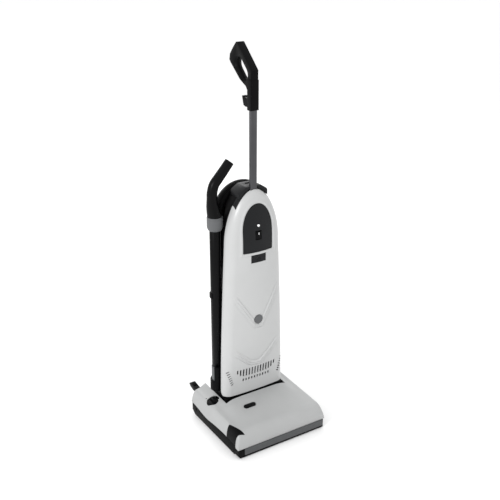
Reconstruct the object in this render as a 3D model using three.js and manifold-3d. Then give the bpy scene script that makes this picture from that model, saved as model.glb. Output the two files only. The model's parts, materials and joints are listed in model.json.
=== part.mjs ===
// Upright vacuum cleaner: a floor head with a belt-driven brush, a tall body that reclines on the
// head, a hose and wand stowed on the body's back, and a loop grip on a flat handle tube.
// Millimetres, +Z up, -Y to the front, +X to the right of someone who looks at the front. The
// origin is on the floor, under the middle of the machine's outer box.

import * as THREE from "three";
import { mergeGeometries, mergeVertices } from "three/addons/utils/BufferGeometryUtils.js";
import Module from "manifold-3d";

const wasm = await Module();
wasm.setup();

// ---------------------------------------------------------------- driving dimensions

const GAP = 0.3; // between pieces that touch
const WALL = 3; // moulded wall

// Floor head
const HEAD_HALF = 155; // half width
const HEAD_FRONT = -165;
const HEAD_REAR = 121;
const LENGTH_HALF = 168; // bumper face and pedal tip are this far from the origin
const SKIRT_Z = 34; // lower edge of the head cover at the front
const NOTCH_HALF = 108.7; // the body reclines into this notch in the cover
const NOTCH_FRONT = -20;
const PAN_REAR = 34; // rear edge of the chassis pan
const BRUSH = { y: -118, z: 36, core: 20, tip: 30, half: 128 };
const DRIVE = { y: -46, z: 48, pulley: 8, brushPulley: 13, x0: 139, x1: 145 };
const REAR_WHEEL = { y: 90, z: 28, r: 28, x0: 119, x1: 142 };
const FRONT_ROLLER = { y: -68, z: 14, r: 14, x0: 98, x1: 116 };
const PEDAL = { x: -127, half: 9, y: 98, z: 67 };
const KNOB = { x: -129, y: 27, r: 18.5 };
const GUARD = { x: -144, rear: -98, front: -148.5, tip: [-126, -154] }; // the black corner, in plan

// Body
const PIVOT = { y: 75, z: 66 }; // recline axis
const BODY_FOOT = 107; // lower edge of the front cover
const ARCH_BASE = 600; // the outline turns into an arch here
const ARCH_RISE = 162;
const FOOT_HALF = 107.5;
const ARCH_HALF = 89.5;
const RIM_Y = 15; // the front cover ends here, against the housing
const HOUSING_REAR = 50;
const CORNER_Y = -9; // front face at its side edges, before rounding
const BULGE = 21; // how far the middle of the front face stands forward of them
const FOOT_BULGE = 5; // the same at the foot, where the face is nearly flat
const EDGE_R = 24; // rounding of the front face into its sides
const HINGE = { y: -2, z: 122 }; // front cover hinge
const PANEL = { half: 49, foot: 575, spring: 640, top: 718 };
const LATCH = { half: 24.5, z0: 543, z1: 568 };
const SWITCH = { z: 625, half: 9.5, tall: 12.5 };
const LED_Z = 654.5;
const BADGE = { z: 358, r: 14 };
const MOTOR_Y = 16.5; // suction motor and fan, upright behind the cover
const INLET_Z = 280; // mains cord inlet
const SCREWS = [[-40, 560], [40, 560], [-40, 380], [40, 380]]; // housing, x and z

// Hose, wand and handle
const WAND = { x: -104, y: 40, r: 16 };
const HOSE = { x: 71, y: 72, r: 19, foot: 124, arch: 675, port: 262 };
const TUBE = { half: 11, y0: -3, y1: 8.3, foot: 565, top: 1040 };
const SLEEVE = { half: 13, y0: -5.5, y1: 12.5, z0: 978, z1: 1060 };
const GRIP = { y: -8, z: 1084, slope: 42.6, long: 104, half: 11.5 };
const HOOK_Z = 998;

// ---------------------------------------------------------------- materials

const material = (color, roughness, metalness = 0) =>
  new THREE.MeshStandardMaterial({ color, roughness, metalness });

const LIGHT = () => material(0xd2d3d3, 0.42);
const HEAD_LIGHT = () => material(0xc2c3c3, 0.45);
const BLACK = () => material(0x141415, 0.5);
const DARK = () => material(0x34363a, 0.45);
const GREY = () => material(0x7d8082, 0.5);
const ALUMINIUM = () => material(0x5c5e60, 0.4, 0.6);
const RUBBER = () => material(0x6b6d6f, 0.75);
const TYRE = () => material(0x1c1c1d, 0.85);
const STEEL = () => material(0xb6b8ba, 0.3, 0.9);
const BRISTLE = () => material(0x26272a, 0.9);
const PAPER = () => material(0xe6e3da, 0.9);

// ---------------------------------------------------------------- solids

// A closed geometry as a solid that can be joined and cut.
function solid(geometry) {
  const bare = geometry.clone();
  bare.deleteAttribute("normal");
  bare.deleteAttribute("uv");
  const merged = mergeVertices(bare, 1e-3);
  const index = merged.index.array;
  const triangles = [];
  for (let i = 0; i < index.length; i += 3) {
    const [a, b, c] = [index[i], index[i + 1], index[i + 2]];
    if (a !== b && b !== c && c !== a) triangles.push(a, b, c);
  }
  const points = new Float32Array(merged.attributes.position.array);
  if (signedVolume(points, triangles) < 0) triangles.reverse();
  const triVerts = new Uint32Array(triangles);
  return new wasm.Manifold(new wasm.Mesh({ numProp: 3, vertProperties: points, triVerts }));
}

// Six times the volume that the triangles enclose: negative where they face inwards.
function signedVolume(points, triangles) {
  const corner = (i) => new THREE.Vector3().fromArray(points, 3 * triangles[i]);
  let total = 0;
  for (let i = 0; i < triangles.length; i += 3) {
    total += corner(i).dot(corner(i + 1).cross(corner(i + 2)));
  }
  return total;
}

// The surface of a solid, as a geometry to draw.
function surface(body) {
  const mesh = body.getMesh();
  const geometry = new THREE.BufferGeometry();
  geometry.setAttribute("position", new THREE.BufferAttribute(mesh.vertProperties, 3));
  geometry.setIndex(new THREE.BufferAttribute(mesh.triVerts, 1));
  return geometry;
}

const join = (...bodies) => bodies.reduce((a, b) => a.add(b));
const cut = (body, ...tools) => tools.reduce((a, b) => a.subtract(b), body);

function box(x0, x1, y0, y1, z0, z1) {
  const geometry = new THREE.BoxGeometry(x1 - x0, y1 - y0, z1 - z0);
  return solid(geometry.translate((x0 + x1) / 2, (y0 + y1) / 2, (z0 + z1) / 2));
}

// Turns a geometry built along +Z so that it runs along +X, with its own x and y as Y and Z.
function alongX(geometry) {
  const basis = new THREE.Matrix4().makeBasis(
    new THREE.Vector3(0, 1, 0),
    new THREE.Vector3(0, 0, 1),
    new THREE.Vector3(1, 0, 0),
  );
  return geometry.applyMatrix4(basis);
}

const shapeOf = (points) => new THREE.Shape(points.map(([a, b]) => new THREE.Vector2(a, b)));
const extruded = (points, depth) =>
  new THREE.ExtrudeGeometry(shapeOf(points), { depth, bevelEnabled: false });

const prismZ = (points, z0, z1) => solid(extruded(points, z1 - z0).translate(0, 0, z0));
const prismX = (points, x0, x1) => solid(alongX(extruded(points, x1 - x0)).translate(x0, 0, 0));
const prismY = (points, y0, y1) =>
  solid(extruded(points, y1 - y0).rotateX(Math.PI / 2).translate(0, y1, 0));

function rodX(r, x0, x1, y, z, sides = 24) {
  const rod = new THREE.CylinderGeometry(r, r, x1 - x0, sides).rotateX(Math.PI / 2);
  return solid(alongX(rod).translate((x0 + x1) / 2, y, z));
}

function rodY(r, y0, y1, x, z, sides = 24) {
  const rod = new THREE.CylinderGeometry(r, r, y1 - y0, sides);
  return solid(rod.translate(x, (y0 + y1) / 2, z));
}

function rodZ(r, z0, z1, x, y, sides = 24) {
  const rod = new THREE.CylinderGeometry(r, r, z1 - z0, sides).rotateX(Math.PI / 2);
  return solid(rod.translate(x, y, (z0 + z1) / 2));
}

// A turned piece about the Z axis through (x, y): its profile is a list of [radius, height].
function turnedZ(profile, x, y, sides = 24) {
  const points = profile.map(([r, h]) => new THREE.Vector2(r, h));
  return solid(new THREE.LatheGeometry(points, sides).rotateX(Math.PI / 2).translate(x, y, 0));
}

// A turned piece about an axis along X at (y, z): its profile is a list of [radius, x].
function turnedX(profile, y, z, sides = 24) {
  const points = profile.map(([r, x]) => new THREE.Vector2(r, x));
  const ring = new THREE.LatheGeometry(points, sides).rotateX(Math.PI / 2);
  return solid(alongX(ring).translate(0, y, z));
}

// A round bar swept along a curve.
function swept(curve, r, sides, steps) {
  const ring = Array.from({ length: sides }, (_, i) => {
    const a = (i / sides) * 2 * Math.PI;
    return [r * Math.cos(a), r * Math.sin(a)];
  });
  const options = { steps, extrudePath: curve, bevelEnabled: false };
  return solid(new THREE.ExtrudeGeometry(shapeOf(ring), options));
}

// An arc of points round (cx, cy), from angle a0 to a1 in degrees.
function arc(cx, cy, r, a0, a1, steps) {
  return Array.from({ length: steps + 1 }, (_, i) => {
    const a = THREE.MathUtils.degToRad(a0 + ((a1 - a0) * i) / steps);
    return [cx + r * Math.cos(a), cy + r * Math.sin(a)];
  });
}

// A grid of points as triangles. rows is a list of rows of THREE.Vector3.
function gridGeometry(rows, flip = false) {
  const wide = rows[0].length;
  const position = rows.flat().flatMap((p) => [p.x, p.y, p.z]);
  const index = [];
  for (let i = 0; i + 1 < rows.length; i++) {
    for (let j = 0; j + 1 < wide; j++) {
      const [a, b] = [i * wide + j, i * wide + j + 1];
      const [c, d] = [a + wide, b + wide];
      index.push(...(flip ? [a, c, b, b, c, d] : [a, b, c, b, d, c]));
    }
  }
  const geometry = new THREE.BufferGeometry();
  geometry.setAttribute("position", new THREE.Float32BufferAttribute(position, 3));
  geometry.setIndex(index);
  return geometry;
}

const root = new THREE.Group();

function piece(name, body, look) {
  const mesh = new THREE.Mesh(surface(body), look());
  mesh.name = name;
  root.add(mesh);
}

// A pan-head screw along -Z or along an axis given by a turn, its head's seat at the origin.
function screw(name, place) {
  const profile = [[0, 2.2], [2.6, 1.9], [3.6, 0.8], [3.6, 0], [1.6, 0], [1.6, -5], [0, -6]];
  const mesh = new THREE.Mesh(surface(turnedZ(profile, 0, 0, 8)), STEEL());
  mesh.name = name;
  place(mesh);
  root.add(mesh);
}

// ---------------------------------------------------------------- floor head

const power = (t, p) => Math.pow(Math.max(0, t), p);
const smooth = (t) => {
  const s = Math.min(1, Math.max(0, t));
  return s * s * (3 - 2 * s);
};
// 1 in the middle of a face, falling to 0 in a round shoulder at its edge.
const shoulder = (past, wide, p) => power(1 - power(past / wide, p), 1 / p);

// Height of the head's top: a gentle slope to the front and a hump that carries the body.
function headTop(x, y, half, front, rear) {
  const slope = 78 + (8 * (y - HEAD_FRONT)) / (HEAD_REAR - HEAD_FRONT);
  const hump = 22 * smooth((y + 150) / 130) * Math.exp(-Math.pow(Math.abs(x) / 118, 8));
  const side = shoulder(Math.abs(x) - (half - 15), 15, 2.2);
  const nose = shoulder(front + 35 - y, 35, 2.4);
  const tail = shoulder(y - (rear - 12), 12.5, 2.2);
  return SKIRT_Z + (slope + hump - SKIRT_Z) * side * nose * tail;
}

// The head's block under that top, set in by a wall: the cover is one such block less another.
function headBlock(inset, foot = 20 - inset) {
  const half = HEAD_HALF - inset;
  const front = HEAD_FRONT + inset;
  const rear = HEAD_REAR - inset;
  const across = [0, 1.5, 5, 10, 16, 34, 60, 104, half].map((d) => d - half);
  const xs = [...across, ...across.slice(0, -1).map((x) => -x).reverse()];
  const nose = [0, 1.5, 5, 12, 22, 36, 70, 110, 146].map((d) => front + d);
  const ys = [...nose, rear - 60, rear - 12, rear - 4, rear];
  const top = ys.map((y) =>
    xs.map((x) => new THREE.Vector3(x, y, headTop(x, y, half, front, rear) - inset)),
  );
  const low = top.map((row) => row.map((p) => new THREE.Vector3(p.x, p.y, foot)));
  const wall = (upper, lower, flip) => gridGeometry([upper, lower], flip);
  const column = (rows, j) => rows.map((row) => row[j]);
  const last = xs.length - 1;
  return solid(
    mergeGeometries([
      gridGeometry(top),
      gridGeometry(low, true),
      wall(top[0], low[0], true),
      wall(top.at(-1), low.at(-1)),
      wall(column(top, 0), column(low, 0)),
      wall(column(top, last), column(low, last), true),
    ]),
  );
}

const guardWedge = (grow) =>
  prismZ(
    [
      [-170, GUARD.rear + grow],
      [GUARD.x + grow, GUARD.rear + grow],
      [GUARD.tip[0] + 2 * grow, GUARD.tip[1] - grow],
      [GUARD.x - 6, GUARD.front - grow],
      [-170, GUARD.front - grow],
    ],
    10,
    120,
  );

// Lower edge of the cover, as [y, z] from front to rear: it dips in front of the rear wheels.
const SKIRT = [
  [-149.5, 30.5], [-148.5, 39], [-80, 41], [-25, 38], [5, 34], [30, 32.5], [55, 35.5], [85, 40],
  [130, 42],
];

function headCover() {
  const skirt = prismX([[-180, 0], [-180, 30], ...SKIRT, [130, 0]], -170, 170);
  const shell = cut(
    headBlock(0),
    headBlock(WALL),
    skirt,
    box(-NOTCH_HALF, NOTCH_HALF, NOTCH_FRONT, 140, 0, 130),
  );
  const pedalSlot = box(PEDAL.x - 11, 1 - NOTCH_HALF, 108, 140, 40, 81);
  const knobWell = rodZ(KNOB.r + 0.8, 60, 110, KNOB.x, KNOB.y, 32);
  const lens = rodsPill(20.5, 7.5, 60, 120);
  piece("head_cover", cut(shell, guardWedge(GAP), pedalSlot, knobWell, lens), HEAD_LIGHT);

  // The guard goes on below the cover, round the front corner to the bumper's end.
  const side = -HEAD_HALF;
  const toe = join(
    box(side, side + 4.6, -LENGTH_HALF + 0.5, GUARD.front + 7, 9, 29.5),
    box(side, -133.8, -LENGTH_HALF + 0.5, -161.5, 9, 29.5),
    box(side, side + 2.8, GUARD.front + 0.5, GUARD.front + 7, 20, 45),
  );
  piece("corner_guard", join(shell.intersect(guardWedge(0)), toe), BLACK);
}

// A flat-sided pill standing on end, for the indicator lens and the window it sits in.
function rodsPill(halfLong, r, z0, z1) {
  const straight = halfLong - r;
  const left = arc(-54.5 - straight, -67, r, 90, 270, 8);
  const right = arc(-54.5 + straight, -67, r, -90, 90, 8);
  return prismZ([...left, ...right], z0, z1);
}

function chassis() {
  // A box on each side of the machine, from x0 to x1 out from the middle.
  const pair = (x0, x1, ...rest) => join(box(x0, x1, ...rest), box(-x1, -x0, ...rest));
  const { y: rollerY, z: rollerZ } = FRONT_ROLLER;
  const hood = [
    ...arc(BRUSH.y, BRUSH.z, 37, 180, 0, 9),
    [BRUSH.y + 37, 10],
    [BRUSH.y + 34, 10],
    ...arc(BRUSH.y, BRUSH.z, 34, 0, 180, 9),
    [BRUSH.y - 34, 10],
    [BRUSH.y - 37, 10],
  ];
  const frame = join(
    prismX(hood, -133, 133),
    pair(132, 136, -156, -82, 10, 66),
    pair(146, 150, -158, 117, 10, 44),
    pair(109, 113, 50, 113, 10, 78),
    box(-148, 148, -161, -155, 10, 30),
    box(-148, 148, -82, PAN_REAR, 10, 13),
    pair(110, 148, PAN_REAR - 1, 53, 10, 13),
    pair(110, 148, 50, 53, 10, 52),
    pair(91, 96, rollerY - 8, rollerY + 8, 12, 21),
    pair(118, 123, rollerY - 8, rollerY + 8, 12, 21),
  ).intersect(headBlock(WALL + 0.4, 0));
  // The side plates stand out below the cover's edge, and their rear corner is cut away.
  const plate = [
    [GUARD.front + 8, 3.5], [100, 3.5], [117, 14],
    ...SKIRT.filter(([y]) => y > GUARD.front + 8).map(([y, z]) => [Math.min(y, 117), z - 1]).reverse(),
    [GUARD.front + 8, 38],
  ];
  const sides = join(prismX(plate, 146, 153.5), prismX(plate, -153.5, -146));
  const duct = box(-20, 20, -90, -76, 24, 44);
  return cut(
    frame.add(sides),
    pair(96, 118, rollerY - 17, rollerY + 17, 5, 32),
    duct,
    rodX(6.4, -140, 140, BRUSH.y, BRUSH.z, 20),
    rodX(9.4, -120, 120, PIVOT.y, PIVOT.z),
    rodX(4.3, -160, 160, REAR_WHEEL.y, REAR_WHEEL.z, 16),
    rodX(2.8, -155, -105, PEDAL.y, PEDAL.z - 4, 12),
    rodX(2.3, -125, 125, rollerY, rollerZ, 12),
  );
}

function headInside() {
  piece("chassis", chassis(), BLACK);

  const window = box(-129, 129, -150, -86, 0, 10);
  const bars = [-80, -27, 27, 80].map((x) => box(x - 1.5, x + 1.5, -151, -85, 3, 5));
  const wells = [-118, 96].map((x) => box(x, x + 22, -85, -50, 0, 10));
  const lip = box(-150, 150, -166.5, -150, 3, 8.7);
  const plate = join(cut(join(box(-145.7, 145.7, -160, -52, 3, 9.7), lip), window), ...bars);
  piece("sole_plate", cut(plate, ...wells), BLACK);

  const corner = arc(146, -LENGTH_HALF + 6, 6, 0, -90, 4);
  const bumper = [[-133.5, -LENGTH_HALF], [-133.5, -161.5], [152, -161.5], ...corner];
  piece("front_bumper", prismZ(bumper, 9, 29.5), RUBBER);

  piece("indicator_lens", rodsPill(20, 7, 80, 99.5), DARK);

  const bristles = [0, 1, 2, 3].map((i) => {
    const strip = box(-122, 122, -2, 2, BRUSH.core - 1, BRUSH.tip);
    return strip.rotate([i * 90 + 45, 0, 0]).translate([0, BRUSH.y, BRUSH.z]);
  });
  const shaft = [
    [0, -137], [6, -137], [6, -131], [BRUSH.core, -BRUSH.half], [BRUSH.core, BRUSH.half],
    [6, 131], [6, DRIVE.x0 - 0.5], [DRIVE.brushPulley, DRIVE.x0 - 0.5],
    [DRIVE.brushPulley, DRIVE.x1 + 0.5], [0, DRIVE.x1 + 0.5],
  ];
  piece("brush_roller", join(turnedX(shaft, BRUSH.y, BRUSH.z), ...bristles), BRISTLE);

  const motor = [[0, 20], [4.6, 20], [4.6, 45], [25, 45], [25, -70], [14, -76], [0, -76]];
  piece("brush_motor", turnedX(motor, DRIVE.y, DRIVE.z), STEEL);
  const rotor = [
    [0, 22], [4, 22], [4, DRIVE.x0 - 1], [DRIVE.pulley, DRIVE.x0 - 1],
    [DRIVE.pulley, DRIVE.x1 + 0.5], [0, DRIVE.x1 + 0.5],
  ];
  piece("motor_pulley", turnedX(rotor, DRIVE.y, DRIVE.z), STEEL);
  piece("drive_belt", belt(), TYRE);
}

// The belt's loop round its two pulleys, as the space between two hulls.
function belt() {
  const tilt = THREE.MathUtils.radToDeg(
    Math.atan2(DRIVE.z - BRUSH.z, DRIVE.y - BRUSH.y),
  );
  const between = Math.hypot(DRIVE.y - BRUSH.y, DRIVE.z - BRUSH.z);
  const lean = THREE.MathUtils.radToDeg(
    Math.acos((DRIVE.brushPulley - DRIVE.pulley) / between),
  );
  const loop = (grow) => [
    ...arc(BRUSH.y, BRUSH.z, DRIVE.brushPulley + grow, tilt + lean, tilt + 360 - lean, 16),
    ...arc(DRIVE.y, DRIVE.z, DRIVE.pulley + grow, tilt - lean, tilt + lean, 8),
  ];
  return cut(
    prismX(loop(2.2), DRIVE.x0, DRIVE.x1),
    prismX(loop(0.4), DRIVE.x0 - 1, DRIVE.x1 + 1),
  );
}

function running() {
  for (const [side, s] of [["right", -1], ["left", 1]]) {
    const w = REAR_WHEEL;
    const tyre = [
      [4.3, w.x0], [w.r - 4, w.x0], [w.r, w.x0 + 4], [w.r, w.x1 - 4], [w.r - 4, w.x1],
      [16, w.x1 - 3], [14, w.x1], [4.3, w.x1], [4.3, w.x0],
    ].map(([r, x]) => [r, s * x]);
    piece(`rear_wheel_${side}`, turnedX(tyre, w.y, w.z, 22), TYRE);
    const pin = s > 0 ? [109.5, 150] : [-150, -109.5];
    piece(`rear_axle_${side}`, rodX(3.9, ...pin, w.y, w.z, 16), STEEL);

    const f = FRONT_ROLLER;
    const reel = s > 0 ? [f.x0, f.x1] : [-f.x1, -f.x0];
    const bore = rodX(2.4, reel[0] - 1, reel[1] + 1, f.y, f.z, 12);
    piece(`front_roller_${side}`, cut(rodX(f.r, ...reel, f.y, f.z, 20), bore), TYRE);
    piece(`roller_pin_${side}`, rodX(2, reel[0] - 6, reel[1] + 6, f.y, f.z, 12), STEEL);
  }
}

function headControls() {
  const top = headTop(KNOB.x, KNOB.y, HEAD_HALF, HEAD_FRONT, HEAD_REAR);
  const disc = turnedZ(
    [[0, top - 16], [KNOB.r, top - 16], [KNOB.r, top - 2], [KNOB.r - 2, top - 0.5], [0, top - 0.5]],
    KNOB.x, KNOB.y, 32,
  );
  const bar = box(KNOB.x - 3, KNOB.x + 3, KNOB.y - 15, KNOB.y + 15, top - 1, top + 5);
  const stem = rodZ(5, 14, top - 15, KNOB.x, KNOB.y, 16);
  piece("height_knob", join(disc, bar, stem), BLACK);

  const { x, half, y, z } = PEDAL;
  const foot = [
    [y - 9, z - 9], [y + 8, z - 9], [y + 22, z - 4], [144, z - 3], [160, z + 1],
    [165.5, z + 4.5], [LENGTH_HALF, z + 8.5], [166, z + 12], [160, z + 13], [140, z + 10],
    [118, z + 7], [y - 4, z + 4], [y - 9, z],
  ];
  const lever = cut(
    prismX(foot, x - half, x + half),
    rodX(2.8, x - half - 1, x + half + 1, y, z - 4, 12),
  );
  piece("release_pedal", lever, BLACK);
  piece("pedal_pin", rodX(2.5, -147.5, -109.5, y, z - 4, 12), STEEL);
}

// ---------------------------------------------------------------- body shape

const flank = (z) =>
  FOOT_HALF - (FOOT_HALF - ARCH_HALF) * power((z - BODY_FOOT) / (ARCH_BASE - BODY_FOOT), 1.45);

// Right half of the body's outline in the XZ plane, from its foot to the top of the arch.
function outline(inset, foot, straight = 5, round = 10) {
  const sides = Array.from({ length: straight }, (_, i) => {
    const z = foot + ((ARCH_BASE - foot) * i) / straight;
    return [flank(z) - inset, z];
  });
  const crown = Array.from({ length: round + 1 }, (_, i) => {
    const a = ((i / round) * Math.PI) / 2;
    const x = i === round ? 0 : (ARCH_HALF - inset) * power(Math.cos(a), 1.1);
    return [x, ARCH_BASE + (ARCH_RISE - inset) * power(Math.sin(a), 1.1)];
  });
  return [...sides, ...crown];
}

const wholeOutline = (inset, foot) => {
  const half = outline(inset, foot);
  return [...half, ...half.slice(0, -1).map(([x, z]) => [-x, z]).reverse()];
};

// How far forward the front face is, a given distance in from the outline towards the spine.
function faceY(inward, reach, inset, z) {
  const r = EDGE_R - inset;
  const bulge = FOOT_BULGE + (BULGE - FOOT_BULGE) * smooth((z - BODY_FOOT) / 190);
  const crowned = bulge * (1 - power(1 - inward / reach, 2));
  const rounded = inward < r ? r - Math.sqrt(r * r - (r - inward) * (r - inward)) : 0;
  return CORNER_Y + inset - crowned + rounded;
}

// The space behind the front face, back to a flat rear: the face is set in by inset.
function dish(inset, foot, rear) {
  const steps = [0, 0.015, 0.055, 0.14, 0.36, 0.66, 1];
  const rows = outline(inset, foot).map(([x, z]) => {
    const spine = Math.min(z, ARCH_BASE);
    const reach = Math.hypot(x, z - spine) || 1;
    const half = steps.map((k) => {
      const y = faceY(k * reach, reach, inset, z);
      return new THREE.Vector3(x * (1 - k), y, z + (spine - z) * k);
    });
    const right = [new THREE.Vector3(x, rear, z), ...half];
    const left = right.slice(0, -1).map((p) => new THREE.Vector3(-p.x, p.y, p.z));
    return [...left, ...right.reverse()];
  });
  const back = rows.map((row) => row.map((p) => new THREE.Vector3(p.x, rear, p.z)));
  return solid(
    mergeGeometries([
      gridGeometry(rows),
      gridGeometry(back, true),
      gridGeometry([back[0], rows[0]]),
    ]),
  );
}

const skin = (outer, inner) => dish(outer, BODY_FOOT, 0).subtract(dish(inner, BODY_FOOT - 5, 5));

// Outline of the control panel: straight sides and an elliptical head.
function panelOutline(grow) {
  const head = Array.from({ length: 13 }, (_, i) => {
    const a = (i / 12) * Math.PI;
    const rise = PANEL.top - PANEL.spring + grow;
    return [(PANEL.half + grow) * Math.cos(a), PANEL.spring + rise * Math.sin(a)];
  });
  return [[-PANEL.half - grow, PANEL.foot - grow], [PANEL.half + grow, PANEL.foot - grow], ...head];
}

// ---------------------------------------------------------------- front cover

function ventSlots() {
  const slots = [];
  for (let i = 0; i < 14; i++) {
    const x = -65 + i * 10;
    const drop = 27 - 13 * power(Math.abs(x) / 65, 6);
    slots.push(box(x - 2, x + 2, -50, -2, 194 - drop, 194));
  }
  for (let i = 0; i < 10; i++) {
    const x = -45 + i * 10;
    slots.push(box(x - 2, x + 2, -50, -2, 151, 160));
  }
  for (const s of [-1, 1]) {
    for (let i = 0; i < 7; i++) {
      const slot = box(-4.5, 4.5, -50, 8, -1.5, 1.5).rotate([0, s * 35, 0]);
      slots.push(slot.translate([s * (95 - i * 2.2), 0, 192 - i * 7.3]));
    }
  }
  return join(...slots);
}

function frontCover() {
  const outer = dish(0, BODY_FOOT, RIM_Y);
  const inner = dish(WALL, BODY_FOOT - 5, RIM_Y + 5);
  const shell = outer.subtract(inner);
  // The rear corners at the foot are cut to an arc about the hinge, to swing clear of the housing.
  const swing = arc(HINGE.y, HINGE.z, RIM_Y - HINGE.y - 0.3, 0, -60, 7);
  const heel = prismX([...swing, [6, 100], [24, 100], [24, HINGE.z]], -120, 120);
  // The crown cap takes the place of the cover's top edge, round the handle tube.
  const crown = join(
    box(-60, 60, -1.5, 20, 705, 790),
    box(-TUBE.half - 0.6, TUBE.half + 0.6, TUBE.y0 - 0.6, 20, 700, 790),
  );
  const badgeSeat = prismY(arc(0, BADGE.z, BADGE.r + GAP, 0, 345, 23), -60, 0)
    .subtract(dish(1.5, BODY_FOOT - 5, 20));
  const open = cut(
    shell,
    heel,
    prismY(panelOutline(0.6), -60, 0),
    box(-LATCH.half - 0.5, LATCH.half + 0.5, -60, -10, LATCH.z0 - 0.5, LATCH.z1 + 0.5),
    badgeSeat,
    crown,
    ventSlots(),
  );
  const knuckles = [-28, 28].map((x) => {
    const arm = box(x - 8, x + 8, -31, HINGE.y, HINGE.z - 3, HINGE.z + 3);
    const eye = rodX(5, x - 8, x + 8, HINGE.y, HINGE.z, 16);
    const inside = dish(1, BODY_FOOT - 5, 20);
    return join(arm, eye).intersect(inside);
  });
  const bore = rodX(2.8, -60, 60, HINGE.y, HINGE.z, 16);
  piece("front_cover", cut(join(open, ...knuckles), bore), LIGHT);

  const latch = box(-LATCH.half, LATCH.half, -60, -10, LATCH.z0, LATCH.z1);
  piece("cover_latch", skin(0.8, 7).intersect(latch), DARK);
  const badge = prismY(arc(0, BADGE.z, BADGE.r, 0, 345, 23), -60, -10);
  piece("round_badge", dish(-0.6, BODY_FOOT, 0).subtract(dish(1.2, 100, 5)).intersect(badge), GREY);
  piece("cover_hinge_rod", rodX(2.5, -49, 49, HINGE.y, HINGE.z, 12), STEEL);
}

function controls() {
  const { z, half, tall } = SWITCH;
  const opening = (grow, y0, y1) =>
    box(-half - grow, half + grow, y0, y1, z - tall - grow, z + tall + grow);
  const lamp = rodY(3.8, -60, 0, 0, LED_Z, 16);
  const plate = skin(1.2, 4.2).intersect(prismY(panelOutline(0), -60, -5));
  piece("control_panel", cut(plate, opening(GAP, -60, 0), lamp), DARK);
  piece("led_lens", rodY(3.5, -29.5, -18.5, 0, LED_Z, 16), material.bind(null, 0xf4f4f4, 0.2, 0));

  const rocker = [
    [-22, z - tall + 1], [-28.5, z - tall + 0.6], [-27.6, z], [-30.5, z + tall - 0.6],
    [-22, z + tall - 1], [-18, z],
  ];
  piece("rocker_switch", prismX(rocker, -half + 0.2, half - 0.2), BLACK);

  const bay = cut(
    box(-36, 36, -15.5, -4, 585, 670),
    box(-33, 33, -12.5, 0, 588, 667),
    opening(0.5, -30, -10),
    rodY(3.8, -30, -10, 0, LED_Z, 16),
  );
  piece("switch_bay", bay, BLACK);
}

// ---------------------------------------------------------------- housing

function planOf(inset, front) {
  const right = [
    [125, front], [125, 18.5], [104 - inset, 21 - inset], [84 - inset, 27 - inset / 2],
    [60 - inset, HOUSING_REAR - inset],
  ];
  return [...right, ...right.map(([x, y]) => [-x, y]).reverse()];
}

function housing() {
  const outer = prismY(wholeOutline(0, 112), RIM_Y + GAP, HOUSING_REAR)
    .intersect(prismZ(planOf(0, 0), 112, 770));
  const inner = prismY(wholeOutline(WALL, 115), -10, HOUSING_REAR - WALL)
    .intersect(prismZ(planOf(WALL, -10), 115, 770));
  const shelf = box(-100, 100, 8, 48, 300, 303).intersect(outer);
  const brackets = [-46.5, 46.5].map((x) => {
    const across = [x - 2.5, x + 2.5];
    const arm = box(...across, HINGE.y, 18, HINGE.z - 4, HINGE.z + 4);
    const eye = rodX(4, ...across, HINGE.y, HINGE.z, 12);
    return join(arm, eye, box(...across, 8, 18, 113, HINGE.z + 4));
  });
  const floor = box(-82, 82, 2.5, 19, 112, 115);
  const shell = join(outer.subtract(inner), shelf, floor, ...brackets);
  const portHole = rodY(14, 40, 60, HOSE.x - 12, 236, 20);
  const inlet = rodY(4.2, 40, 60, -34, INLET_Z, 16);
  const rodHoles = rodX(2.7, -70, 70, HINGE.y, HINGE.z, 12);
  const slats = [0, 1, 2, 3, 4, 5].map((i) => box(-36, 36, 40, 60, 150 + i * 10, 154 + i * 10));
  const screwHoles = SCREWS.map(([x, z]) => rodY(1.9, 40, 55, x, z, 12));
  piece("housing", cut(shell, portHole, inlet, rodHoles, ...slats, ...screwHoles), BLACK);
}

function neck() {
  const arm = [
    [36, 111.7], [50, 111.7], [84, 80], ...arc(PIVOT.y, PIVOT.z, 15, 30, -170, 8), [36, 98],
  ];
  const arms = [-1, 1].map((s) => prismX(arm, s > 0 ? 80 : -96, s > 0 ? 96 : -80));
  const tube = rodX(15, -81, 81, PIVOT.y, PIVOT.z);
  const pins = rodX(9, -112.5, 112.5, PIVOT.y, PIVOT.z);
  const bore = rodX(6, -120, 120, PIVOT.y, PIVOT.z, 16);
  // An apron under the body fills the notch in the head, clear of the front cover's swing.
  const apron = join(
    box(-103.5, 103.5, -10, 48, 84, 101.5),
    box(-103.5, 103.5, RIM_Y + GAP, 48, 100, 111.7),
  );
  const under = join(
    box(-100.5, 100.5, -7, 45, 80, 98.5),
    box(-100.5, 100.5, RIM_Y + GAP + WALL, 45, 97, 108.7),
  );
  piece("neck_yoke", cut(join(tube, pins, cut(apron, under), ...arms), bore), BLACK);
}

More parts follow.
